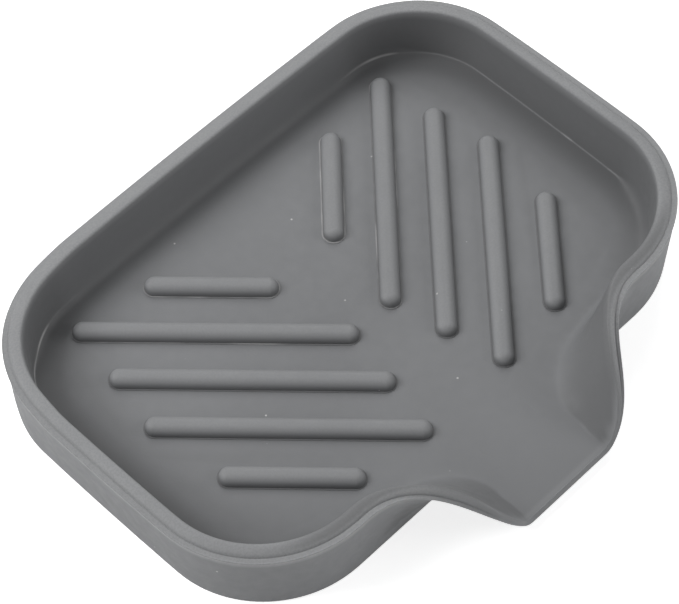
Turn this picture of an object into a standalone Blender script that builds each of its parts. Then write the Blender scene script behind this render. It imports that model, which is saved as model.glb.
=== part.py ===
"""Grey silicone soap dish with a drain spout, as one moulding at its real size.

Lengths are in millimetres and become metres in point(). +X is the long way, -Y is the spout side
and +Z is up. The dish stands on z = 0, with its box centred on the origin.
"""

import math

import bmesh
import bpy
from mathutils import Vector

MM = 0.001

# Most of a side that the rounding of a corner may take
ROUND_LIMIT = 0.45

# Plan of the parting edge, the widest line of the moulding
HALF_LENGTH = 64.13
BACK_Y = 51.03
FRONT_Y = -35.90
BACK_RADIUS = 23.1
FRONT_RADIUS = 25.2
END_BOW = 0.87
BACK_BOW = 1.23
PARTING_Z = 17.25

# Foot and skirt
DRAFT = 1.5
FOOT_ROUND = 0.2
FLASH = 0.15

# Underside recess
FOOT_WIDTH = 4.0
RECESS_DEPTH = 3.0
RECESS_DRAFT = 0.6
RECESS_ROUND = 0.8
CUTTER_START = 1.0

# Spout: it springs from the plain front a short way past the corner's arc
SPOUT_GAP = 1.13
SPOUT_HALF_WIDTH = HALF_LENGTH - FRONT_RADIUS - SPOUT_GAP
SHOULDER_HANDLE = Vector((-15.1, 0.0, 2.0))
LIP_HALF_WIDTH = 11.28
LIP_Y = -52.26
LIP_Z = 2.1
LIP_HANDLE = Vector((10.5, -0.2, 11.0))
LIP_SCALE = 0.2
LIP_RISE = 0.5
WING_RISE = 1.6
LIP_STEP = 0.02
SPOUT_UNDER_Z = 1.4
SPOUT_BLEND = 7.0
KNEE_AHEAD = 0.2
SHELF_AHEAD = 0.5
KNEE_SHARE = 0.25
SHELF_SHARE = 0.70
KNEE_REACH = 2.5
KEEL_REACH = 3.0
KEEL_LEAN = 0.62
ROOT_POWER = 2.7

# Rim and inside wall: how far in from the parting edge, and how far above it
LEDGE = ((0.25, 0.16), (0.70, 0.20), (1.18, 0.16), (1.28, 0.30))
BEAD = ((1.48, 0.54), (1.90, 0.78), (2.50, 0.98), (3.10, 1.12), (3.60, 1.14), (3.90, 0.98), (4.05, 0.50))
BEAD_CREST = 2.5
WALL_FILLET = 1.0

# Floor
FLOOR_Z = 5.86
FLOOR_SLOPE = 0.03
SPOUT_FLOOR_INSET = 1.9
SPOUT_FLOOR_Y = FRONT_Y + SPOUT_FLOOR_INSET
LIP_FLOOR_Z = 2.75

# Foot of the inside wall: inset on the plain walls, then handles and gap from the lip in the wing
WALL_INSET = 5.48
WALL_SHOULDER_HANDLE = Vector((-13.8, 0.0, 0.0))
WALL_LIP_HANDLE = Vector((1.5, 14.0, 0.0))
WALL_LIP_GAP = Vector((-0.78, 1.36, 0.0))
WING_FILLET = 9.0
WING_SKEW = 0.8

# Line on the floor just past the wall's fillet, made in the same way
FLOOR_INSET = 10.0
FLOOR_SHOULDER_HANDLE = Vector((-17.8, 0.0, 0.0))
FLOOR_LIP_HANDLE = Vector((-0.3, 19.0, 0.0))
FLOOR_LIP_GAP = Vector((-4.28, 2.36, 0.0))
FLAT_INSET = 12.0

# Ribs: each side is the mirror image of the other. A span is the start and end along the rib.
RIB_ANGLE = math.radians(46.6)
RIB_ORIGIN_Y = 12.07
RIB_FIRST = 1.16
RIB_PITCH = 10.76
RIB_SPANS = ((10.0, 36.8), (-6.2, 50.6), (-13.5, 42.2), (-20.7, 34.6), (-8.2, 19.9))
RIB_WIDTH = 4.5
RIB_HEIGHT = 2.0
RIB_ROUND = 1.9
RIB_ROOT = 0.6
RIB_END_STEPS = 8

# Points along each stretch of the half outline, from the middle of the back to the front
BACK_STEPS = 8
CORNER_STEPS = 12
END_STEPS = 8
FRONT_STEPS = 3
SPOUT_STEPS = 16
LIP_STEPS = 4
FLOOR_STEPS = 4


def clear_scene():
    for thing in list(bpy.data.objects):
        bpy.data.objects.remove(thing, do_unlink=True)


def new_collection(name):
    collection = bpy.data.collections.new(name)
    bpy.context.scene.collection.children.link(collection)
    return collection


def mix(a, b, share):
    return a + (b - a) * share


def smooth(share):
    share = min(max(share, 0.0), 1.0)
    return share * share * (3.0 - 2.0 * share)


def point(x, y, z):
    return Vector((x, y, z)) * MM


def quarter(centre_x, centre_y, radius, first, steps):
    """A quarter circle clockwise from the angle first, without its last point."""
    turn = [first - math.radians(90.0) * k / steps for k in range(steps)]
    return [(centre_x + radius * math.cos(t), centre_y + radius * math.sin(t)) for t in turn]


def line(start, end, steps):
    """Evenly spaced points from start towards end, without end."""
    return [tuple(mix(a, b, k / steps) for a, b in zip(start, end)) for k in range(steps)]


def plain_half(inset):
    """Right half of the rounded outline, as far as the spout, moved in by inset."""
    half = HALF_LENGTH - inset
    back = BACK_Y - inset
    front = FRONT_Y + inset
    back_radius = BACK_RADIUS - inset
    front_radius = FRONT_RADIUS - inset
    path = line((0.0, back), (half - back_radius, back), BACK_STEPS)
    path += quarter(half - back_radius, back - back_radius, back_radius, math.pi / 2, CORNER_STEPS)
    path += line((half, back - back_radius), (half, front + front_radius), END_STEPS)
    path += quarter(half - front_radius, front + front_radius, front_radius, 0.0, CORNER_STEPS)
    path += line((half - front_radius, front), (SPOUT_HALF_WIDTH, front), FRONT_STEPS)
    return [bowed(x, y, half, back, front) for x, y in path]


def bowed(x, y, half, back, front):
    """Pushes the back and the ends out in a shallow curve, and leaves the front straight."""
    along = (y - (back + front) / 2.0) / ((back - front) / 2.0)
    out_x = END_BOW * max(1.0 - along * along, 0.0) * x / half
    out_y = BACK_BOW * max(1.0 - (x / half) ** 2, 0.0) * max(along, 0.0)
    return x + out_x, y + out_y


def spout_half():
    """The parting edge from the plain front, down the wing, to the middle of the lip."""
    start = Vector((SPOUT_HALF_WIDTH, FRONT_Y, PARTING_Z))
    corner = Vector((LIP_HALF_WIDTH, LIP_Y, LIP_Z))
    return wing_curve(start, SHOULDER_HANDLE, LIP_HANDLE, corner, 1.0)


def wing_curve(start, start_handle, end_handle, end, skew):
    """A smooth curve down the wing, then a straight run to the middle of the lip."""
    curve = []
    for k in range(SPOUT_STEPS):
        share = (k / SPOUT_STEPS) ** skew
        near = mix(start, start + start_handle, share)
        middle = mix(start + start_handle, end + end_handle, share)
        far = mix(end + end_handle, end, share)
        curve.append(mix(mix(near, middle, share), mix(middle, far, share), share))
    lip = [mix(end, Vector((0.0, end.y, end.z)), k / LIP_STEPS) for k in range(LIP_STEPS + 1)]
    return curve + lip


def parting_half():
    plain = [Vector((x, y, PARTING_Z)) for x, y in plain_half(0.0)]
    return plain + spout_half()


def foot_half(inset):
    """The foot line: a plain rounded outline, straight where the spout springs from it."""
    plain = [Vector((x, y, 0.0)) for x, y in plain_half(DRAFT + inset)]
    front = FRONT_Y + DRAFT + inset
    wing = [(1.0 - k / SPOUT_STEPS) ** ROOT_POWER for k in range(SPOUT_STEPS)]
    wing = [mix(LIP_HALF_WIDTH, SPOUT_HALF_WIDTH, share) for share in wing]
    lip = [LIP_HALF_WIDTH * (1.0 - k / LIP_STEPS) for k in range(LIP_STEPS + 1)]
    return plain + [Vector((x, front, 0.0)) for x in wing + lip]


def inward(edge):
    """Level unit vectors that point into the dish, one for each point of the half edge."""
    found = []
    for k, here in enumerate(edge):
        before = edge[k - 1] if k else Vector((-edge[1].x, edge[1].y, 0.0))
        last = k == len(edge) - 1
        after = Vector((-edge[k - 1].x, edge[k - 1].y, 0.0)) if last else edge[k + 1]
        along = (after - before).to_2d().normalized()
        found.append(Vector((along.y, -along.x, 0.0)))
    return found


def lip_share():
    """0 on the plain rim and 1 on the lip, rising along the lower part of each wing."""
    plain = BACK_STEPS + 2 * CORNER_STEPS + END_STEPS + FRONT_STEPS
    wing = [smooth((k / SPOUT_STEPS - 0.5) / 0.5) for k in range(SPOUT_STEPS)]
    return [0.0] * plain + wing + [1.0] * (LIP_STEPS + 1)


def spout_share():
    """0 on the plain skirt and 1 where the spout stands well out of it."""
    return [smooth((FRONT_Y - p.y) / SPOUT_BLEND) for p in parting_half()]


def floor_z(y):
    plane = FLOOR_Z + FLOOR_SLOPE * y
    if y >= SPOUT_FLOOR_Y:
        return plane
    fall = FLOOR_Z + FLOOR_SLOPE * LIP_Y - LIP_FLOOR_Z
    return plane - fall * ((SPOUT_FLOOR_Y - y) / (SPOUT_FLOOR_Y - LIP_Y)) ** 1.5


def skirt_rings():
    """From the foot up the skirt; under the spout the rings go up and then forward."""
    edge = parting_half()
    level = [Vector((p.x, p.y, 0.0)) for p in edge]
    rings = [foot_half(FOOT_ROUND), [p + Vector((0.0, 0.0, FOOT_ROUND)) for p in foot_half(0.0)]]
    paths = []
    for e, flat, foot, n, out in zip(edge, level, rings[1], inward(edge), spout_share()):
        top = e + n * FLASH - Vector((0.0, 0.0, 2.0 * FLASH))
        knee = Vector((foot.x, foot.y - KNEE_AHEAD, SPOUT_UNDER_Z))
        under = min(KEEL_LEAN * (e.z - SPOUT_UNDER_Z), (foot.y - SHELF_AHEAD - e.y) / n.y)
        wing = flat + n * max(under, 0.0) + Vector((0.0, 0.0, SPOUT_UNDER_Z))
        knee = mix(mix(foot, top, KNEE_SHARE), knee, out)
        shelf = mix(mix(foot, top, SHELF_SHARE), wing, out)
        path = rounded(foot, knee, shelf, KNEE_REACH) + rounded(knee, shelf, top, KEEL_REACH)
        paths.append(path + [top])
    return rings + [list(ring) for ring in zip(*paths)]


def rounded(before, corner, after, reach):
    """Three points that round off a corner, starting reach before it and ending reach after it."""
    sides = [side - corner for side in (before, after)]
    ends = [corner + side * min(reach / side.length, ROUND_LIMIT) for side in sides]
    return [ends[0], (ends[0] + corner * 2.0 + ends[1]) / 4.0, ends[1]]


def rim_rings():
    """The parting edge, the ledge and the bead, smaller towards the lip."""
    edge = parting_half()
    rings = [edge]
    for deep, rise in LEDGE + BEAD:
        ring = []
        for e, n, lip, out in zip(edge, inward(edge), lip_share(), spout_share()):
            p = e + n * deep * mix(1.0, LIP_SCALE, lip)
            p.z += rise * mix(1.0, LIP_RISE, lip) * mix(1.0, WING_RISE, out)
            if deep > BEAD_CREST:
                p.z = max(p.z, floor_z(p.y) + LIP_STEP)
            ring.append(p)
        rings.append(ring)
    return rings


def floor_line(inset, start_handle, end_handle, lip_gap):
    """A line on the floor, parallel to the plain walls, with a curve of its own in the spout."""
    edge = parting_half()
    plain = len(plain_half(0.0))
    path = [e + n * inset for e, n in zip(edge[:plain], inward(edge))]
    start = Vector((SPOUT_HALF_WIDTH, FRONT_Y + inset, 0.0))
    end = Vector((LIP_HALF_WIDTH, LIP_Y, 0.0)) + lip_gap
    path += wing_curve(start, start_handle, end_handle, end, WING_SKEW)
    return [Vector((p.x, p.y, floor_z(p.y))) for p in path]


def wall_rings(bead_end):
    """Down the inside wall, round its fillet, wide and soft in the wings, and onto the floor."""
    foot_line = floor_line(WALL_INSET, WALL_SHOULDER_HANDLE, WALL_LIP_HANDLE, WALL_LIP_GAP)
    floor_edge = floor_line(FLOOR_INSET, FLOOR_SHOULDER_HANDLE, FLOOR_LIP_HANDLE, FLOOR_LIP_GAP)
    paths = []
    for top, foot, floor, out in zip(bead_end, foot_line, floor_edge, spout_share()):
        paths.append(rounded(top, foot, floor, mix(WALL_FILLET, WING_FILLET, out)) + [floor])
    return [list(ring) for ring in zip(*paths)]


def floor_rings(floor_edge):
    """Up the falling floor of the spout to the flat part of the floor."""
    flat = [e + n * FLAT_INSET for e, n in zip(parting_half(), inward(parting_half()))]
    for k in range(len(plain_half(0.0)), len(flat)):
        flat[k] = Vector((floor_edge[k].x, FRONT_Y + FLAT_INSET, 0.0))
    rings = []
    for step in range(1, FLOOR_STEPS + 1):
        ring = [mix(a, b, step / FLOOR_STEPS) for a, b in zip(floor_edge, flat)]
        rings.append([Vector((p.x, p.y, floor_z(p.y))) for p in ring])
    return rings


def closed_loop(bm, half):
    """Vertices of a whole loop, from the right half and its mirror image."""
    left = [Vector((-p.x, p.y, p.z)) for p in reversed(half[1:-1])]
    return [bm.verts.new(p * MM) for p in list(half) + left]


def loft(bm, loops):
    """Faces between neighbouring loops of one length, whatever the shape of each."""
    for low, high in zip(loops, loops[1:]):
        for k in range(len(low)):
            j = (k + 1) % len(low)
            bm.faces.new((low[k], low[j], high[j], high[k]))


def round_edges(bm, edges, radius, steps):
    offset = radius * MM
    bmesh.ops.bevel(bm, geom=edges, offset=offset, segments=steps, profile=0.5, affect="EDGES")


def object_from(bm, name, collection):
    bmesh.ops.recalc_face_normals(bm, faces=bm.faces[:])
    mesh = bpy.data.meshes.new(name)
    bm.to_mesh(mesh)
    bm.free()
    thing = bpy.data.objects.new(name, mesh)
    collection.objects.link(thing)
    return thing


def make_body(collection):
    """The moulding without its recess and ribs, as one loft from the foot to the floor."""
    rings = skirt_rings() + rim_rings()
    rings += wall_rings(rings[-1])
    rings += floor_rings(rings[-1])
    bm = bmesh.new()
    loops = [closed_loop(bm, ring) for ring in rings]
    loft(bm, loops)
    bm.faces.new(loops[0])
    bm.faces.new(loops[-1])
    return object_from(bm, "dish", collection)


def make_recess(collection):
    """The cutter for the underside: a shallow drafted pocket inside the foot ring."""
    mouth = foot_half(FOOT_WIDTH)
    roof = foot_half(FOOT_WIDTH + RECESS_DRAFT)
    below = [p - Vector((0.0, 0.0, CUTTER_START)) for p in mouth]
    above = [p + Vector((0.0, 0.0, RECESS_DEPTH)) for p in roof]
    bm = bmesh.new()
    loops = [closed_loop(bm, ring) for ring in (below, mouth, above)]
    loft(bm, loops)
    bm.faces.new(loops[0])
    top = bm.faces.new(loops[-1])
    round_edges(bm, top.edges[:], RECESS_ROUND, 3)
    return object_from(bm, "recess_cutter", collection)


def make_rib(side, index, collection):
    """A bar with half-round ends and a rounded top, standing on the sloping floor."""
    along = Vector((math.cos(RIB_ANGLE), math.sin(RIB_ANGLE)))
    across = Vector((along.y, -along.x))
    start, end = RIB_SPANS[index]
    radius = RIB_WIDTH / 2.0
    row = across * (RIB_FIRST + RIB_PITCH * index) + Vector((0.0, RIB_ORIGIN_Y))
    bm = bmesh.new()
    outline = []
    for centre, first in ((end - radius, -90.0), (start + radius, 90.0)):
        for k in range(RIB_END_STEPS + 1):
            turn = math.radians(first + 180.0 * k / RIB_END_STEPS)
            p = row + along * (centre + radius * math.cos(turn)) + across * radius * math.sin(turn)
            outline.append(bm.verts.new(point(side * p.x, p.y, -RIB_ROOT)))
    base = bm.faces.new(outline)
    raised = bmesh.ops.extrude_face_region(bm, geom=[base])["geom"]
    top = [item for item in raised if isinstance(item, bmesh.types.BMFace)][0]
    bmesh.ops.translate(bm, verts=top.verts[:], vec=(0.0, 0.0, (RIB_ROOT + RIB_HEIGHT) * MM))
    round_edges(bm, top.edges[:], RIB_ROUND, 4)
    for vert in bm.verts:
        vert.co.z += floor_z(vert.co.y / MM) * MM
    return object_from(bm, "rib_%d_%s" % (index + 1, "right" if side > 0 else "left"), collection)


def combine(target, helper, operation):
    step = target.modifiers.new(helper.name, "BOOLEAN")
    step.operation = operation
    step.solver = "EXACT"
    step.object = helper


def silicone():
    """Matt mid-grey silicone."""
    material = bpy.data.materials.new("silicone_grey")
    material.use_nodes = True
    shader = material.node_tree.nodes["Principled BSDF"]
    shader.inputs["Base Color"].default_value = (0.21, 0.215, 0.225, 1.0)
    shader.inputs["Roughness"].default_value = 0.55
    shader.inputs["Metallic"].default_value = 0.0
    return material


def hide_helper(thing):
    thing.hide_render = True
    thing.display_type = "WIRE"


def main():
    clear_scene()
    pieces = new_collection("soap_dish")
    helpers = new_collection("cutters")
    helpers.hide_render = True
    dish = make_body(pieces)
    recess = make_recess(helpers)
    hide_helper(recess)
    combine(dish, recess, "DIFFERENCE")
    for side in (1, -1):
        for index in range(len(RIB_SPANS)):
            rib = make_rib(side, index, helpers)
            hide_helper(rib)
            combine(dish, rib, "UNION")
    dish.data.materials.append(silicone())


main()
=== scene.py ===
# %% [markdown]
# # A silicone soap dish with a drain spout
# The real object is a single soft moulding: a shallow tray with a rounded rim, ten soap ribs
# on its floor and a spout in the middle of one long side that lets the water run into the basin.
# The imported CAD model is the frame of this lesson. It fixes the size and the place, in metres,
# with the dish standing on z = 0. The finer visual moulding is built inside that frame.

import math

import bmesh
import bpy
from mathutils import Matrix, Vector
from mathutils.kdtree import KDTree


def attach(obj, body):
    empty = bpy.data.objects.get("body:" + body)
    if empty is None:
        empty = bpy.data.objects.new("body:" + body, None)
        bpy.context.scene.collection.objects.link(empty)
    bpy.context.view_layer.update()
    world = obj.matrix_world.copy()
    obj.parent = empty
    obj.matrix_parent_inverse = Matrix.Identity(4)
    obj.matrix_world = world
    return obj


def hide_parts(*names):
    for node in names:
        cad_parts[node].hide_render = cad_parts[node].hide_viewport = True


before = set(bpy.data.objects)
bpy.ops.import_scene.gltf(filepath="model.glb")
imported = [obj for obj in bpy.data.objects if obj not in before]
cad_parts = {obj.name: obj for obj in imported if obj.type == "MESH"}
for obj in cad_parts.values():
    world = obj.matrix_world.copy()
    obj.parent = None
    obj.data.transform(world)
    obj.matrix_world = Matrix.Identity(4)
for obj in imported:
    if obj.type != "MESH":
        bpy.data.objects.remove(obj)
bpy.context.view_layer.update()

# %% [markdown]
# ## The camera
# A product photograph like this one is taken with a long lens from high above one corner, so
# that nearly parallel edges stay parallel. The view is given as the turn round the dish, the
# height above the horizon and a slight roll, and the camera's three axes follow from these.

# %% Place the camera
VIEW_TURN = math.radians(-41.236)
VIEW_HEIGHT = math.radians(55.598)
VIEW_ROLL = math.radians(-4.5844)
VIEW_PLACE = Vector((-0.19863, -0.21706, 0.44257))
LENS = 141.98
SENSOR = 36.0


def camera_axes(turn, height, roll):
    """The camera's right, up and backward directions."""
    back = Vector((math.sin(turn) * math.cos(height), -math.cos(turn) * math.cos(height),
                   math.sin(height)))
    level = Vector((math.cos(turn), math.sin(turn), 0.0))
    upright = back.cross(level)
    right = math.cos(roll) * level + math.sin(roll) * upright
    return right, back.cross(right), back


camera_data = bpy.data.cameras.new("camera")
camera_data.lens = LENS
camera_data.sensor_width = SENSOR
camera_data.clip_start = 0.01
camera = bpy.data.objects.new("camera", camera_data)
bpy.context.scene.collection.objects.link(camera)
camera.matrix_world = Matrix(camera_axes(VIEW_TURN, VIEW_HEIGHT, VIEW_ROLL)).transposed().to_4x4()
camera.location = VIEW_PLACE
bpy.context.scene.camera = camera
print("camera at", tuple(round(c, 4) for c in camera.location), "lens", LENS)

# %% [markdown]
# ## The half outline
# The dish is the same on its left and right, so only the right half is worked out, as stations
# along the parting line where the two halves of the mould met. The stations run from the middle
# of the back, round both corners, down the wing of the spout and to the middle of its lip.
# Lengths are in millimetres until the mesh is whole, because that is how a moulder thinks.

# %% Stations of the parting line
MM = 0.001
HALF_LENGTH, BACK_Y, FRONT_Y, PARTING_Z = 64.13, 51.03, -35.90, 17.25
BACK_RADIUS, FRONT_RADIUS = 23.1, 25.2
END_BOW, BACK_BOW = 0.87, 1.23
SPOUT_X = 37.8
SHOULDER_HANDLE, LIP_HANDLE = Vector((-15.1, 0.0, 2.0)), Vector((10.5, -0.2, 11.0))
LIP_CORNER = Vector((11.28, -52.26, 2.1))
BACK_STEPS, CORNER_STEPS, END_STEPS, FRONT_STEPS, SPOUT_STEPS, LIP_STEPS = 14, 18, 12, 4, 26, 6
SPOUT_BLEND = 7.0
NARROW_STEPS, WING_WIDTH, LIP_WIDTH = 8.0, 0.62, 0.32
BACK_FROM, BACK_FADE = 0.6, 0.35


def mix(a, b, share):
    return a + (b - a) * share


def smooth(share):
    share = min(max(share, 0.0), 1.0)
    return share * share * (3.0 - 2.0 * share)


def line(start, end, steps):
    """Evenly spaced plan points from start towards end, without end."""
    return [tuple(mix(a, b, k / steps) for a, b in zip(start, end)) for k in range(steps)]


def quarter(x, y, radius, first):
    """A quarter circle clockwise from the angle first, without its last point."""
    turns = [first - math.pi / 2.0 * k / CORNER_STEPS for k in range(CORNER_STEPS)]
    return [(x + radius * math.cos(t), y + radius * math.sin(t)) for t in turns]


def plain_half(inset):
    """The rounded outline as far as the spout, moved in by inset and bowed like the real one."""
    half, back, front = HALF_LENGTH - inset, BACK_Y - inset, FRONT_Y + inset
    far, near = BACK_RADIUS - inset, FRONT_RADIUS - inset
    path = line((0.0, back), (half - far, back), BACK_STEPS)
    path += quarter(half - far, back - far, far, math.pi / 2.0)
    path += line((half, back - far), (half, front + near), END_STEPS)
    path += quarter(half - near, front + near, near, 0.0)
    path += line((half - near, front), (SPOUT_X, front), FRONT_STEPS)
    bowed = []
    for x, y in path:
        along = (2.0 * y - back - front) / (back - front)
        out_x = END_BOW * max(1.0 - along * along, 0.0) * x / half
        out_y = BACK_BOW * max(1.0 - (x / half) ** 2, 0.0) * max(along, 0.0)
        bowed.append(Vector((x + out_x, y + out_y, 0.0)))
    return bowed


def wing_curve(start, start_handle, end_handle, end, skew):
    """A smooth curve down the wing, then a straight run to the middle of the lip."""
    curve = []
    for k in range(SPOUT_STEPS):
        share = (k / SPOUT_STEPS) ** skew
        near = mix(start, start + start_handle, share)
        middle = mix(start + start_handle, end + end_handle, share)
        far = mix(end + end_handle, end, share)
        curve.append(mix(mix(near, middle, share), mix(middle, far, share), share))
    middle_of_lip = Vector((0.0, end.y, end.z))
    return curve + [mix(end, middle_of_lip, k / LIP_STEPS) for k in range(LIP_STEPS + 1)]


def inward_of(path):
    """Level unit vectors that point into the dish, one for each station."""
    found = []
    for k in range(len(path)):
        before = path[k - 1] if k else Vector((-path[1].x, path[1].y, 0.0))
        after = path[k + 1] if k < len(path) - 1 else Vector((-path[-2].x, path[-2].y, 0.0))
        along = (after - before).to_2d().normalized()
        found.append(Vector((along.y, -along.x, 0.0)))
    return found


def band_width(k):
    """How wide the rim's band is at a station: whole on the plain walls, narrow in the wings."""
    wing = mix(1.0, WING_WIDTH, smooth((k - PLAIN) / NARROW_STEPS))
    return wing * mix(1.0, LIP_WIDTH, LIP[k])


# Shares from 0 to 1 for each station: OUT is how far it is out in the spout, LIP how near the lip
# it is, and BACK is 1 along the back wall.
PLAIN = len(plain_half(0.0))
EDGE = [p + Vector((0.0, 0.0, PARTING_Z)) for p in plain_half(0.0)]
SHOULDER = Vector((SPOUT_X, FRONT_Y, PARTING_Z))
EDGE += wing_curve(SHOULDER, SHOULDER_HANDLE, LIP_HANDLE, LIP_CORNER, 1.0)
INWARD = inward_of(EDGE)
OUT = [smooth((FRONT_Y - p.y) / SPOUT_BLEND) for p in EDGE]
LIP = [smooth((k - PLAIN) / SPOUT_STEPS * 2.0 - 1.0) for k in range(len(EDGE))]
BACK = [smooth((-n.y - BACK_FROM) / BACK_FADE) for n in INWARD]
WIDTH = [band_width(k) for k in range(len(EDGE))]
print("stations on the half outline:", len(EDGE), "of which plain:", PLAIN)

# %% [markdown]
# ## From the recess to the parting line
# Each ring of the moulding has one point for each station. Under the dish the rings start at the
# flat roof of the shallow recess, come down its wall and cross the foot ring that it stands on.
# Then they climb the skirt. Under the spout the skirt turns into a keel that leans forward.

# %% Rings under the dish and up the skirt
DRAFT, FOOT_WIDTH, RECESS_DEPTH = 1.5, 4.0, 3.0
FOOT_ROUND, ROUND_MIDDLE, ROUND_LIMIT = 0.35, 0.1, 0.45
RECESS_WALL = ((1.6, 0.0), (0.9, -0.07), (0.6, -0.3), (0.45, -0.7), (0.1, -2.4))
UNDER_Z, ROOT_POWER, KEEL_LEAN = 1.4, 2.7, 0.62
PARTING_INSET, PARTING_DROP = 0.15, 0.3
KNEE_AHEAD, KNEE_SHARE, KNEE_REACH = 0.2, 0.25, 2.5
SHELF_AHEAD, SHELF_SHARE, KEEL_REACH = 0.5, 0.70, 3.0
LEAST_TURN = 0.1


def foot_line(inset, z):
    """The foot: a plain rounded outline, straight where the spout springs from it."""
    front = FRONT_Y + DRAFT + inset
    wing = [(1.0 - k / SPOUT_STEPS) ** ROOT_POWER for k in range(SPOUT_STEPS)]
    across = [mix(LIP_CORNER.x, SPOUT_X, share) for share in wing]
    across += [LIP_CORNER.x * (1.0 - k / LIP_STEPS) for k in range(LIP_STEPS + 1)]
    rings = plain_half(DRAFT + inset) + [Vector((x, front, 0.0)) for x in across]
    return [Vector((p.x, p.y, z)) for p in rings]


def rounded(before, corner, after, reach, steps=3):
    """Points that round off a corner, from reach before it to reach after it."""
    sides = [side - corner for side in (before, after)]
    first, last = [corner + side * min(reach / side.length, ROUND_LIMIT) for side in sides]
    points = []
    for k in range(steps):
        share = k / (steps - 1)
        points.append(mix(mix(first, corner, share), mix(corner, last, share), share))
    return points


def under_rings():
    """The roof of the recess, its rounded edge, its wall and the foot ring."""
    wall = [(FOOT_WIDTH + beyond, RECESS_DEPTH + above) for beyond, above in RECESS_WALL]
    inner = [(FOOT_WIDTH, FOOT_ROUND), (FOOT_WIDTH - ROUND_MIDDLE, ROUND_MIDDLE)]
    inner += [(FOOT_WIDTH - FOOT_ROUND, 0.0), (FOOT_WIDTH / 2.0, 0.0)]
    outer = [(FOOT_ROUND, 0.0), (ROUND_MIDDLE, ROUND_MIDDLE)]
    return [foot_line(inset, z) for inset, z in wall + inner + outer]


def skirt_rings():
    """Up the skirt to just below the parting line, and out under the spout."""
    paths = []
    for edge, foot, n, out in zip(EDGE, foot_line(0.0, FOOT_ROUND), INWARD, OUT):
        top = edge + n * PARTING_INSET - Vector((0.0, 0.0, PARTING_DROP))
        knee = mix(mix(foot, top, KNEE_SHARE), Vector((foot.x, foot.y - KNEE_AHEAD, UNDER_Z)), out)
        under = 0.0
        if n.y > LEAST_TURN:
            room = (foot.y - SHELF_AHEAD - edge.y) / n.y
            under = max(min(KEEL_LEAN * (edge.z - UNDER_Z), room), 0.0)
        wing = Vector((edge.x, edge.y, UNDER_Z)) + n * under
        shelf = mix(mix(foot, top, SHELF_SHARE), wing, out)
        bends = rounded(foot, knee, shelf, KNEE_REACH) + rounded(knee, shelf, top, KEEL_REACH)
        paths.append([foot] + bends + [top])
    return [list(ring) for ring in zip(*paths)]


print("rings below the parting line:", len(under_rings()) + len(skirt_rings()))

# %% [markdown]
# ## The rim, the inside wall and the floor
# Above the parting line a narrow ledge runs round the dish, then a small groove, then the fat
# rounded bead of the rim. In the wings of the spout the whole band narrows. Inside, the wall drops
# to the floor and meets it in a fillet, tiny at the ends, wider along the back and at the front, and
# widest where the wings begin. Towards the lip the walls lean out as flat facets with a straight
# channel between.

# %% Rings of the rim, the wall and the floor
LEDGE = ((0.0, 0.0), (0.03, 0.19), (0.12, 0.24), (0.22, 0.13),
         (0.60, 0.17), (1.04, 0.22), (1.14, 0.15), (1.22, 0.15))
BEAD = ((1.30, 0.29), (1.46, 0.54), (1.90, 0.80), (2.50, 1.00),
        (3.10, 1.13), (3.55, 1.13), (3.88, 0.95), (4.03, 0.50))
LIP_RISE, WING_RISE = 0.5, 1.6
CHORD, CHORD_TOP, BEAD_CREST, BACK_FLAT = 0.4, 1.0, 2.5, 0.9
SKIN_FROM, SKIN = 2.0, 0.02
FLOOR_Z, FLOOR_SLOPE, LIP_FLOOR_Z, FALL_Y, FALL_POWER = 5.86, 0.03, 2.75, -34.0, 1.5
WALL_INSET, FLOOR_INSET, FLAT_INSET, WING_SKEW = 5.48, 10.0, 12.0, 0.8
WALL_HANDLES = Vector((-20.0, 0.0, 0.0)), Vector((0.2, 14.0, 0.0))
FLOOR_HANDLES = Vector((-17.8, 0.0, 0.0)), Vector((-0.3, 19.0, 0.0))
WALL_LIP_GAP, FLOOR_LIP_GAP = Vector((-0.78, 1.36, 0.0)), Vector((-4.28, 2.36, 0.0))
END_FILLET, SOFT_FILLET, WING_FILLET, LIP_FILLET = 0.35, 4.0, 9.0, 0.6
FRONT_TURN, LIP_HURRY = 0.5, 1.6
FILLET_STEPS, FLOOR_STEPS = 7, 3


def floor_z(y):
    """The floor is a gentle slope towards the front that falls away in the spout."""
    plane = FLOOR_Z + FLOOR_SLOPE * y
    fall = FLOOR_Z + FLOOR_SLOPE * LIP_CORNER.y - LIP_FLOOR_Z
    return plane - fall * (max(FALL_Y - y, 0.0) / (FALL_Y - LIP_CORNER.y)) ** FALL_POWER


def on_floor(path):
    return [Vector((p.x, p.y, floor_z(p.y))) for p in path]


def rim_rings():
    """The ledge and the bead, lower towards the lip. The groove fades there and at the back."""
    rings = []
    for deep, rise in LEDGE + BEAD:
        ring = []
        for edge, n, lip, out, width, back in zip(EDGE, INWARD, LIP, OUT, WIDTH, BACK):
            p = edge + n * deep * width
            flat = min(CHORD * deep, CHORD_TOP) if deep < BEAD_CREST else rise
            plain_rise = mix(rise, flat, max(lip, BACK_FLAT * back))
            p.z += plain_rise * mix(1.0, LIP_RISE, lip) * mix(1.0, WING_RISE, out)
            if deep > SKIN_FROM:
                p.z = max(p.z, floor_z(p.y) + SKIN)
            ring.append(p)
        rings.append(ring)
    return rings


def floor_line(inset, handles, lip_gap):
    """A line on the floor, parallel to the plain walls, with a curve of its own in the spout."""
    path = [edge + n * inset for edge, n in zip(EDGE[:PLAIN], INWARD)]
    start, end = Vector((SPOUT_X, FRONT_Y + inset, 0.0)), LIP_CORNER + lip_gap
    return on_floor(path + wing_curve(start, handles[0], handles[1], end, WING_SKEW))


def wall_foot():
    """Where the inside wall would meet the floor without a fillet."""
    return floor_line(WALL_INSET, WALL_HANDLES, WALL_LIP_GAP)


def floor_edge():
    """The line on the floor where every fillet has run out."""
    return floor_line(FLOOR_INSET, FLOOR_HANDLES, FLOOR_LIP_GAP)


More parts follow.
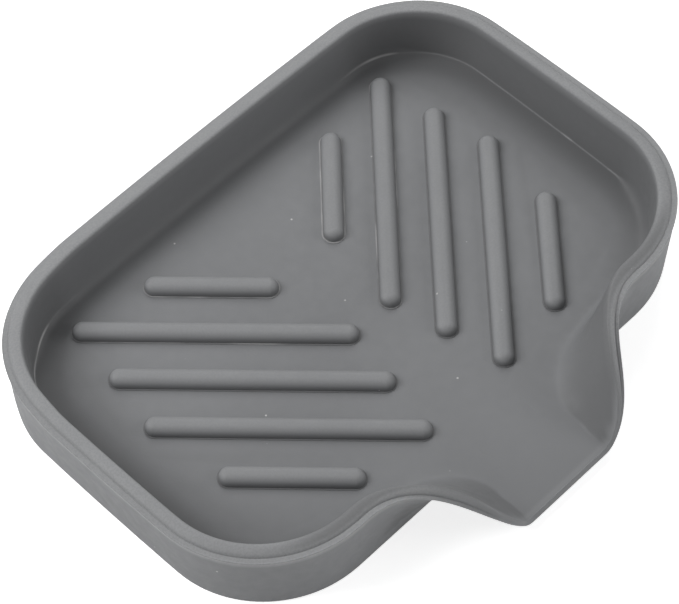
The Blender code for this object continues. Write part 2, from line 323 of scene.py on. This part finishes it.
def wall_rings(bead_end):
    """Down the inside wall and round its fillet onto the floor."""
    paths = []
    lines = zip(bead_end, wall_foot(), floor_edge())
    for (top, corner, floor), n, out, lip, back in zip(lines, INWARD, OUT, LIP, BACK):
        soft = max(back, smooth(n.y / FRONT_TURN))
        plain = mix(END_FILLET, SOFT_FILLET, soft)
        reach = mix(mix(plain, WING_FILLET, out), LIP_FILLET, min(LIP_HURRY * lip, 1.0))
        paths.append(rounded(top, corner, floor, reach, FILLET_STEPS) + [floor])
    return [list(ring) for ring in zip(*paths)]


def floor_rings(past):
    """Up the falling floor of the spout to the flat part of the floor."""
    flat = [edge + n * FLAT_INSET for edge, n in zip(EDGE, INWARD)]
    for k in range(PLAIN, len(EDGE)):
        flat[k] = Vector((past[k].x, FRONT_Y + FLAT_INSET, 0.0))
    steps = [k / FLOOR_STEPS for k in range(1, FLOOR_STEPS + 1)]
    return [on_floor([mix(a, b, share) for a, b in zip(past, flat)]) for share in steps]


rings = under_rings() + skirt_rings() + rim_rings()
rings += wall_rings(rings[-1])
rings += floor_rings(rings[-1])
print("rings from the recess to the floor:", len(rings))

# %% [markdown]
# ## Extrude the moulding
# In the editor one would draw the first ring, extrude its edges, move the new points to the next
# ring and go on. Here the script does the same with bmesh operators and mirrors the half. A
# subdivision surface rounds the open shell, and only then are its two flat ends closed, because a
# face with many corners subdivides badly.

# %% Extrude ring by ring, mirror and round
SMOOTH_LEVELS = 1
MERGE = 0.001


def extruded_half(bm, rings):
    """A chain of points through the first ring, extruded through all the others."""
    chain = [bm.verts.new(p) for p in rings[0]]
    edges = [bm.edges.new(pair) for pair in zip(chain, chain[1:])]
    for ring in rings[1:]:
        grown = bmesh.ops.extrude_edge_only(bm, edges=edges)["geom"]
        fresh = [item for item in grown if isinstance(item, bmesh.types.BMVert)]
        edges = [item for item in grown if isinstance(item, bmesh.types.BMEdge) and item.is_boundary
                 and all(v in fresh for v in item.verts)]
        placed = []
        for vert in chain:
            above = [e.other_vert(vert) for e in vert.link_edges if e.other_vert(vert) in fresh]
            placed.append(above[0])
        for vert, p in zip(placed, ring):
            vert.co = p
        chain = placed


def new_piece(name, bm):
    """An object from a bmesh in millimetres, shaded smooth, placed by its mesh alone."""
    bmesh.ops.scale(bm, verts=bm.verts[:], vec=(MM, MM, MM))
    bmesh.ops.recalc_face_normals(bm, faces=bm.faces[:])
    for face in bm.faces:
        face.smooth = True
    mesh = bpy.data.meshes.new(name)
    bm.to_mesh(mesh)
    bm.free()
    piece = bpy.data.objects.new(name, mesh)
    bpy.context.scene.collection.objects.link(piece)
    return piece


def open_edges(piece):
    """How many edges don't join exactly two faces, which is none on a closed body."""
    bm = bmesh.new()
    bm.from_mesh(piece.data)
    count = sum(not edge.is_manifold for edge in bm.edges)
    bm.free()
    return count


def apply_modifiers(piece):
    """Swaps the mesh for its finished form, so that no live modifier is left."""
    view = bpy.context.evaluated_depsgraph_get()
    finished = bpy.data.meshes.new_from_object(piece.evaluated_get(view))
    piece.modifiers.clear()
    piece.data = finished


bm = bmesh.new()
extruded_half(bm, rings)
bmesh.ops.mirror(bm, geom=bm.verts[:] + bm.edges[:] + bm.faces[:], axis="X", merge_dist=MERGE)
moulding = new_piece("dish_moulding", bm)
print("cage faces:", len(moulding.data.polygons))
subdivision = moulding.modifiers.new("rounding", "SUBSURF")
subdivision.levels = subdivision.render_levels = SMOOTH_LEVELS
apply_modifiers(moulding)

bm = bmesh.new()
bm.from_mesh(moulding.data)
bmesh.ops.holes_fill(bm, edges=[edge for edge in bm.edges if edge.is_boundary], sides=0)
bmesh.ops.recalc_face_normals(bm, faces=bm.faces[:])
bm.to_mesh(moulding.data)
bm.free()
print("rounded faces:", len(moulding.data.polygons))

# %% [markdown]
# ## The soap ribs
# Ten bars stand on the floor in two fans and lift the soap out of the water. Each is a stadium:
# a circle whose halves are moved apart, extruded up and rounded along its top edge with a
# bevel. A low step round its foot stands for the flash there. The bars are joined to the floor
# with a Boolean, as they are one material with it.

# %% Model the ribs and join them to the floor
RIB_TURN, RIB_ORIGIN_Y, RIB_FIRST, RIB_PITCH = math.radians(46.6), 12.07, 1.16, 10.76
RIB_SPANS = ((10.0, 36.8), (-6.2, 50.6), (-13.5, 42.2), (-20.7, 34.6), (-8.2, 19.9))
RIB_WIDTH, RIB_HEIGHT, RIB_ROUND, RIB_ROOT = 4.3, 2.0, 1.8, 0.6
RIB_SEGMENTS, ROUND_STEPS = 32, 8
FLASH_WIDTH, FLASH_HEIGHT = 0.30, 0.12


def raised_face(bm, face, height, keep_base):
    """Extrudes a face straight up and returns the new top. An inner face isn't kept as a base."""
    grown = bmesh.ops.extrude_face_region(bm, geom=[face])["geom"]
    top = [item for item in grown if isinstance(item, bmesh.types.BMFace)][0]
    bmesh.ops.translate(bm, verts=top.verts[:], vec=(0.0, 0.0, height))
    if not keep_base and face.is_valid:
        bmesh.ops.delete(bm, geom=[face], context="FACES_ONLY")
    return top


def add_rib(whole, side, index):
    """Adds one bar of the fan on the given side, standing on the sloping floor."""
    start, end = RIB_SPANS[index]
    bm = bmesh.new()
    half_step = Matrix.Rotation(math.pi / RIB_SEGMENTS, 4, "Z")
    bmesh.ops.create_circle(bm, cap_ends=True, radius=RIB_WIDTH / 2.0 + FLASH_WIDTH,
                            segments=RIB_SEGMENTS, matrix=half_step)
    reach = (end - start - RIB_WIDTH) / 2.0
    for vert in bm.verts:
        vert.co.x += math.copysign(reach, vert.co.x)
    top = raised_face(bm, bm.faces[:][0], RIB_ROOT + FLASH_HEIGHT, True)
    bmesh.ops.inset_region(bm, faces=[top], thickness=FLASH_WIDTH)
    top = raised_face(bm, top, RIB_HEIGHT - FLASH_HEIGHT, False)
    bmesh.ops.bevel(bm, geom=top.edges[:], offset=RIB_ROUND, segments=ROUND_STEPS, profile=0.5,
                    affect="EDGES", material=-1)
    offset = RIB_FIRST + RIB_PITCH * index
    bmesh.ops.translate(bm, verts=bm.verts[:], vec=((start + end) / 2.0, -offset, -RIB_ROOT))
    bmesh.ops.rotate(bm, verts=bm.verts[:], matrix=Matrix.Rotation(RIB_TURN, 3, "Z"))
    for vert in bm.verts:
        vert.co.y += RIB_ORIGIN_Y
        vert.co.x *= side
        vert.co.z += floor_z(vert.co.y)
    part = bpy.data.meshes.new("rib")
    bm.to_mesh(part)
    bm.free()
    whole.from_mesh(part)
    bpy.data.meshes.remove(part)


bm = bmesh.new()
for side in (1, -1):
    for index in range(len(RIB_SPANS)):
        add_rib(bm, side, index)
ribs = new_piece("ribs", bm)
print("open edges of the ribs:", open_edges(ribs), "and of the moulding:", open_edges(moulding))
join = moulding.modifiers.new("ribs", "BOOLEAN")
join.operation, join.solver, join.object = "UNION", "EXACT", ribs
apply_modifiers(moulding)
bpy.data.objects.remove(ribs, do_unlink=True)
print("faces with ribs:", len(moulding.data.polygons))

# %% Keep the rib roots crisp and the rest smooth
CREASE, WELD = math.radians(38.0), 0.002 * MM
bm = bmesh.new()
bm.from_mesh(moulding.data)
bmesh.ops.remove_doubles(bm, verts=bm.verts[:], dist=WELD)
for face in bm.faces:
    face.smooth = True
for edge in bm.edges:
    edge.smooth = not edge.is_manifold or edge.calc_face_angle(0.0) < CREASE
bm.to_mesh(moulding.data)
bm.free()
triangles = sum(len(face.vertices) - 2 for face in moulding.data.polygons)
print("triangles:", triangles, "open edges:", open_edges(moulding))

# %% [markdown]
# ## Painted highlights, wear and painted shade
# The tops of the ribs and the rim are made paler than the rest: partly wear, partly a painted highlight.
# The foot of the inside wall gets painted shade, and along it a hair of flash, where the mould's inner
# core met its floor, gets a painted highlight. The inside walls, the rib roots and the wings' facets get
# painted shade too, because the lamps alone leave them too pale. All of it follows the shape, so it is
# stored on the mesh as attributes that come from the distance to a line on the dish or from the height
# over the floor.

# %% Store the painted highlight and wear, the painted shade and the flash's painted highlight on the mesh
# Painted highlight and wear: the rim near four of its rings, less so at the lip, and the upper part of the
# ribs.
RIM_CORE, RIM_REACH, LIP_WEAR_HIGHLIGHT, LIP_WEAR_HIGHLIGHT_Y, LIP_WEAR_HIGHLIGHT_FADE = 0.8, 1.5, 0.3, -49.0, 10.0
WEAR_HIGHLIGHT_RINGS = (1, 4, len(LEDGE) + 2, len(LEDGE) + 4)
RIB_WEAR_HIGHLIGHT, RIB_WEAR_HIGHLIGHT_FROM, RIB_WEAR_HIGHLIGHT_FADE = 0.6, 0.8, 1.0
# Painted shade: the rib roots, and the wall with its foot, which is darker at the dish's two ends.
ROOT_DEEP, ROOT_FROM, ROOT_FADE = 0.75, 0.4, 1.1
ENDS_X, ENDS_FADE = 36.0, 8.0
FOOT_SHADE_DEEP, FOOT_SHADE_DEEP_ENDS, FOOT_SHADE_REACH, FOOT_SHADE_REACH_ENDS = 0.4, 0.85, 6.0, 11.0
WALL_DEEP, WALL_DEEP_ENDS, WALL_FROM, WALL_FADE, WALL_TO = 0.35, 0.65, 3.9, 0.4, 6.0
WALL_OVER, WALL_OVER_FADE = 0.2, 1.2
INSIDE_FROM, INSIDE_FADE, LEAST_OVER = 2.5, 1.5, -0.3
# Painted shade too: the wings' facets, with a soft edge behind CRISP_Y and a crisp one in front of it.
WING_BACK_Y, CRISP_Y, WING_FADE = -27.0, -34.0, 6.0
FACET_DEEP, FACET_EDGE, FACET_EDGE_FADE, FACET_OVER = 0.6, 1.4, 0.8, 0.45
SOFT_FROM, SOFT_FADE = 4.0, 10.0
# Painted highlight of the flash: a hair along the foot of the wall at the two ends, and a step round the
# first bars.
FLASH_REACH, FLASH_FRONT_Y, FLASH_FADE = 0.30, -14.0, 8.0
RIB_FLASH_HIGHLIGHT, FLASHED_BARS, FLASH_MARGIN = 0.6, 2, 0.05
# A point is on a bar within BAR_HALF of its middle line and BAR_MARGIN past its ends, and from
# BAR_LOW over the floor to BAR_HIGH over the bar's top.
BAR_HALF, BAR_MARGIN, BAR_LOW, BAR_HIGH = 2.6, 0.5, 0.08, 0.1
CORE_RING, FINE_STEPS = 3, 12


def ease(value, start, width):
    """Rises smoothly from 0 at the start to 1 at one width further on."""
    return smooth((value - start) / width)


def fine_line(half):
    """A search tree of closely spaced points on a line and on its mirror image."""
    points = []
    for start, end in zip(half, half[1:]):
        points += [mix(start, end, k / FINE_STEPS) for k in range(FINE_STEPS)]
    points += [Vector((-p.x, p.y, p.z)) for p in points]
    tree = KDTree(len(points))
    for k, p in enumerate(points):
        tree.insert(p, k)
    tree.balance()
    return tree


def level(p):
    return Vector((p.x, p.y, 0.0))


def rib_at(p, side):
    """Which of the five bars of the fan on the given side a point lies over, or -1 for none."""
    q = Matrix.Rotation(-RIB_TURN, 2) @ Vector((p.x * side, p.y - RIB_ORIGIN_Y))
    index = round((-q.y - RIB_FIRST) / RIB_PITCH)
    if not 0 <= index < len(RIB_SPANS):
        return -1
    start, end = RIB_SPANS[index]
    beside = abs(q.y + RIB_FIRST + RIB_PITCH * index) < BAR_HALF
    return index if beside and start - BAR_MARGIN < q.x < end + BAR_MARGIN else -1


rim = rim_rings()
rim_lines = [fine_line(rim[k]) for k in WEAR_HIGHLIGHT_RINGS]
core_tree = fine_line(wall_rings(rim[-1])[CORE_RING][:PLAIN])
foot_tree = fine_line(wall_foot())
outline = fine_line([level(p) for p in EDGE])


def wear_and_highlight_share(p, over, on_rib):
    """Painted highlight and wear on the tops of the ribs and the rim, less so near the lip."""
    from_rim = min(tree.find(p)[2] for tree in rim_lines)
    on_rim = 1.0 - ease(from_rim, RIM_CORE, RIM_REACH - RIM_CORE)
    on_rim *= mix(LIP_WEAR_HIGHLIGHT, 1.0, ease(p.y, LIP_WEAR_HIGHLIGHT_Y, LIP_WEAR_HIGHLIGHT_FADE))
    return max(RIB_WEAR_HIGHLIGHT * ease(over, RIB_WEAR_HIGHLIGHT_FROM, RIB_WEAR_HIGHLIGHT_FADE) * on_rib, on_rim)


def painted_shade_share(p, over, from_edge, inside, ends):
    """Painted shade on the foot of the inside wall, the wall itself and the facet of the wing."""
    wing = smooth((WING_BACK_Y - p.y) / WING_FADE)
    reach = mix(FOOT_SHADE_REACH, FOOT_SHADE_REACH_ENDS, ends)
    hollow = 1.0 - smooth(foot_tree.find(p)[2] / reach)
    hollow *= mix(FOOT_SHADE_DEEP, FOOT_SHADE_DEEP_ENDS, ends) * (1.0 - wing) * inside
    crisp = smooth((CRISP_Y - p.y) / WING_FADE)
    facet = mix(1.0 - ease(from_edge, SOFT_FROM, SOFT_FADE), smooth(over / FACET_OVER), crisp)
    facet *= FACET_DEEP * wing * ease(from_edge, FACET_EDGE, FACET_EDGE_FADE) * (over > LEAST_OVER)
    wall = ease(over, WALL_OVER, WALL_OVER_FADE) * ease(from_edge, WALL_FROM, WALL_FADE) * (1.0 - wing)
    wall *= mix(WALL_DEEP, WALL_DEEP_ENDS, ends) * (from_edge < WALL_TO)
    return max(hollow, facet, wall)


wear_and_highlight, painted_shade, flash_highlight = [], [], []
for vert in moulding.data.vertices:
    p = vert.co / MM
    over = p.z - floor_z(p.y)
    from_edge = outline.find(level(p))[2]
    inside = ease(from_edge, INSIDE_FROM, INSIDE_FADE) if over > LEAST_OVER else 0.0
    ends = ease(abs(p.x), ENDS_X, ENDS_FADE)
    bar = max(rib_at(p, 1), rib_at(p, -1))
    on_rib = bar >= 0 and BAR_LOW < over < RIB_HEIGHT + BAR_HIGH
    # Painted highlight and wear on the rim and the tops of the ribs.
    wear_and_highlight.append(wear_and_highlight_share(p, over, on_rib))
    # A painted highlight along the hair of flash at the wall's foot.
    hair = (1.0 - smooth(core_tree.find(p)[2] / FLASH_REACH)) * inside * ends
    hair *= ease(p.y, FLASH_FRONT_Y, FLASH_FADE)
    # On a bar, painted shade darkens its root, and the low step round the first bars gets a painted
    # highlight.
    if on_rib:
        painted_shade.append(ROOT_DEEP * (1.0 - ease(over, ROOT_FROM, ROOT_FADE)))
        low = bar < FLASHED_BARS and over < FLASH_HEIGHT + FLASH_MARGIN
        flash_highlight.append(RIB_FLASH_HIGHLIGHT if low else hair)
    else:
        painted_shade.append(painted_shade_share(p, over, from_edge, inside, ends))
        flash_highlight.append(hair)
for name, values in (("wear_and_highlight", wear_and_highlight), ("painted_shade", painted_shade), ("flash_highlight", flash_highlight)):
    moulding.data.attributes.new(name, "FLOAT", "POINT").data.foreach_set("value", values)
    print(name, "vertices:", sum(value > 0.5 for value in values))

# %% [markdown]
# ## One corner that has settled
# Soft silicone doesn't keep quite the shape of its mould. Here the rim leans in a little at the
# left back corner, so the points there move towards a centre inside the corner. The move is
# nothing at the foot and full at the rim, and it fades out along both walls.

# %% Lean the left back corner in
CORNER_PULL, CORNER_INSET, CORNER_INNER, CORNER_FADE = 1.15, 8.0, 16.0, 10.0
corner_x, corner_y = BACK_RADIUS - HALF_LENGTH + CORNER_INSET, BACK_Y - BACK_RADIUS - CORNER_INSET
moved = 0
for vert in moulding.data.vertices:
    spoke = level(vert.co / MM) - Vector((corner_x, corner_y, 0.0))
    if spoke.x < 0.0 < spoke.y:
        along = smooth(math.sin(2.0 * math.atan2(spoke.y, -spoke.x)))
        lean = smooth(vert.co.z / MM / PARTING_Z) * smooth((spoke.length - CORNER_INNER) / CORNER_FADE)
        pull = CORNER_PULL * along * lean
        vert.co -= spoke.normalized() * pull * MM
        moved += pull > 0.1
moulding.data.update()
print("points moved by more than 0.1 mm:", moved)

# %% [markdown]
# ## The silicone
# Moulded silicone is matt but not dull: it has a soft sheen, a very fine grain from the
# tool, slight clouds in its colour and, because it is a little sticky, specks of dust. All of it is
# made with nodes on Object coordinates, so it stays in place from every side.

# %% Make the silicone material
GREY = (0.205, 0.209, 0.216, 1.0)
# The next three colours are a painted highlight mixed with wear, painted shade, and a painted highlight on
# the flash.
WEAR_HIGHLIGHT_GREY = (0.300, 0.304, 0.310, 1.0)
PAINTED_SHADE_GREY = (0.142, 0.144, 0.147, 1.0)
FLASH_HIGHLIGHT_GREY = (0.50, 0.50, 0.50, 1.0)
DUST = (0.55, 0.55, 0.54, 1.0)
# How many cells each pattern has to the metre.
CLOUD_SCALE, WEAR_HIGHLIGHT_SCALE, SEAM_SCALE, DUST_SCALE = 26.0, 60.0, 75.0, 240.0
GLOSS_SCALE, SPECKLE_SCALE, GRAIN_SCALE = 420.0, 2400.0, 2600.0
GRAIN_STRENGTH, GRAIN_DEPTH = 0.25, 0.00006

silicone = bpy.data.materials.new("silicone_grey")
silicone.use_nodes = True
nodes, links = silicone.node_tree.nodes, silicone.node_tree.links
shader = nodes["Principled BSDF"]
place = nodes.new("ShaderNodeTexCoord").outputs["Object"]


def noise(scale, detail):
    """A noise pattern with this many cells to the metre."""
    texture = nodes.new("ShaderNodeTexNoise")
    texture.inputs["Scale"].default_value = scale
    texture.inputs["Detail"].default_value = detail
    links.new(place, texture.inputs["Vector"])
    return texture.outputs["Fac"]


def ramp(value, low, high, out_low=0.0, out_high=1.0):
    """The value carried from the range low to high into another range."""
    step = nodes.new("ShaderNodeMapRange")
    for name, number in (("From Min", low), ("From Max", high), ("To Min", out_low), ("To Max", out_high)):
        step.inputs[name].default_value = number
    links.new(value, step.inputs["Value"])
    return step.outputs["Result"]


def product(a, b):
    step = nodes.new("ShaderNodeMath")
    step.operation = "MULTIPLY"
    links.new(a, step.inputs[0])
    links.new(b, step.inputs[1])
    return step.outputs[0]


def blended(share, a, b):
    """Colour a turned into colour b by the share. A colour is a value or a socket."""
    step = nodes.new("ShaderNodeMix")
    step.data_type = "RGBA"
    # The colours of this node are its inputs 6 and 7 and its output 2.
    for socket, colour in ((step.inputs[6], a), (step.inputs[7], b)):
        if isinstance(colour, tuple):
            socket.default_value = colour
        else:
            links.new(colour, socket)
    links.new(share, step.inputs[0])
    return step.outputs[2]


def attribute(name):
    step = nodes.new("ShaderNodeAttribute")
    step.attribute_name = name
    return step.outputs["Fac"]


darker, lighter = [tuple(share * c for c in GREY) for share in (0.95, 1.05)]
clouds = blended(ramp(noise(CLOUD_SCALE, 2.0), 0.35, 0.65), darker, lighter)
# Painted highlight and wear: paler on the rim and the tops of the ribs.
wear_highlight_mask = product(attribute("wear_and_highlight"), ramp(noise(WEAR_HIGHLIGHT_SCALE, 2.0), 0.30, 0.70, 0.80, 1.0))
wear_highlight_colour = blended(wear_highlight_mask, clouds, WEAR_HIGHLIGHT_GREY)
fine = ramp(noise(SPECKLE_SCALE, 2.0), 0.40, 0.62, 0.0, 0.32)
speckled = blended(product(fine, attribute("wear_and_highlight")), wear_highlight_colour, GREY)
# Painted shade: darker at the rib roots, the inside wall, its foot and the wings' facets.
shaded = blended(attribute("painted_shade"), speckled, PAINTED_SHADE_GREY)
# Painted highlight along the flash.
flash_highlight_mask = product(attribute("flash_highlight"), ramp(noise(SEAM_SCALE, 2.0), 0.46, 0.62, 0.10, 1.0))
edged = blended(flash_highlight_mask, shaded, FLASH_HIGHLIGHT_GREY)

dust_cells = nodes.new("ShaderNodeTexVoronoi")
dust_cells.inputs["Scale"].default_value = DUST_SCALE
links.new(place, dust_cells.inputs["Vector"])
speck = ramp(dust_cells.outputs["Distance"], 0.06, 0.03)
chosen = ramp(dust_cells.outputs["Color"], 0.68, 0.76)
dusty = blended(product(speck, chosen), edged, DUST)
links.new(dusty, shader.inputs["Base Color"])
links.new(ramp(noise(GLOSS_SCALE, 3.0), 0.3, 0.7, 0.52, 0.68), shader.inputs["Roughness"])
shader.inputs["Specular IOR Level"].default_value = 0.35
shader.inputs["Sheen Weight"].default_value = 0.05

grain = nodes.new("ShaderNodeBump")
grain.inputs["Strength"].default_value = GRAIN_STRENGTH
grain.inputs["Distance"].default_value = GRAIN_DEPTH
links.new(noise(GRAIN_SCALE, 3.0), grain.inputs["Height"])
links.new(grain.outputs["Normal"], shader.inputs["Normal"])
moulding.data.materials.clear()
moulding.data.materials.append(silicone)
print("material nodes:", len(nodes))

# %% [markdown]
# ## The studio
# The dish stands on a plain white floor. Two strong soft lamps behind it light its floor and
# its rim, and leave the inside of the back wall in shade. Two weaker ones in front lift the skirt.
# The paper glows more to the camera than to the dish, so that it looks white.

# %% Floor, lamps and world
FLOOR_GLOW, FLOOR_WHITE, FLOOR_HALF = 0.26, 0.72, 1500.0
WORLD_LIGHT, LAMP_SIZE = 0.14, 0.6
bm = bmesh.new()
bmesh.ops.create_grid(bm, x_segments=1, y_segments=1, size=FLOOR_HALF)
ground = new_piece("studio_floor", bm)
white = bpy.data.materials.new("studio_white")
white.use_nodes = True
paper = white.node_tree.nodes["Principled BSDF"]
paper.inputs["Base Color"].default_value = (0.85, 0.85, 0.85, 1.0)
paper.inputs["Roughness"].default_value = 0.9
paper.inputs["Emission Color"].default_value = (1.0, 1.0, 1.0, 1.0)
seen = white.node_tree.nodes.new("ShaderNodeLightPath")
lift = white.node_tree.nodes.new("ShaderNodeMapRange")
lift.inputs["To Min"].default_value = FLOOR_GLOW
lift.inputs["To Max"].default_value = FLOOR_WHITE
white.node_tree.links.new(seen.outputs["Is Camera Ray"], lift.inputs["Value"])
white.node_tree.links.new(lift.outputs["Result"], paper.inputs["Emission Strength"])
ground.data.materials.append(white)

world = bpy.data.worlds.new("studio")
world.use_nodes = True
world.node_tree.nodes["Background"].inputs["Color"].default_value = (1.0, 1.0, 1.0, 1.0)
world.node_tree.nodes["Background"].inputs["Strength"].default_value = WORLD_LIGHT
bpy.context.scene.world = world


def soft_lamp(name, place, power):
    """A square area lamp at a place in metres, aimed at the dish."""
    data = bpy.data.lights.new(name, "AREA")
    data.size, data.energy = LAMP_SIZE, power
    lamp = bpy.data.objects.new(name, data)
    lamp.location = place
    lamp.rotation_euler = Vector(place).to_track_quat("Z", "Y").to_euler()
    bpy.context.scene.collection.objects.link(lamp)


soft_lamp("key_lamp", (-0.55, 0.55, 0.778), 7.8)
soft_lamp("back_lamp", (0.55, 0.55, 0.778), 4.4)
soft_lamp("front_lamp", (0.731, -0.731, 0.376), 3.8)
soft_lamp("left_lamp", (-0.705, -0.705, 0.465), 1.1)
bpy.context.scene.view_settings.view_transform = "Standard"

# %% Fasten the piece to the frame and finish
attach(moulding, "root")
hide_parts("dish")
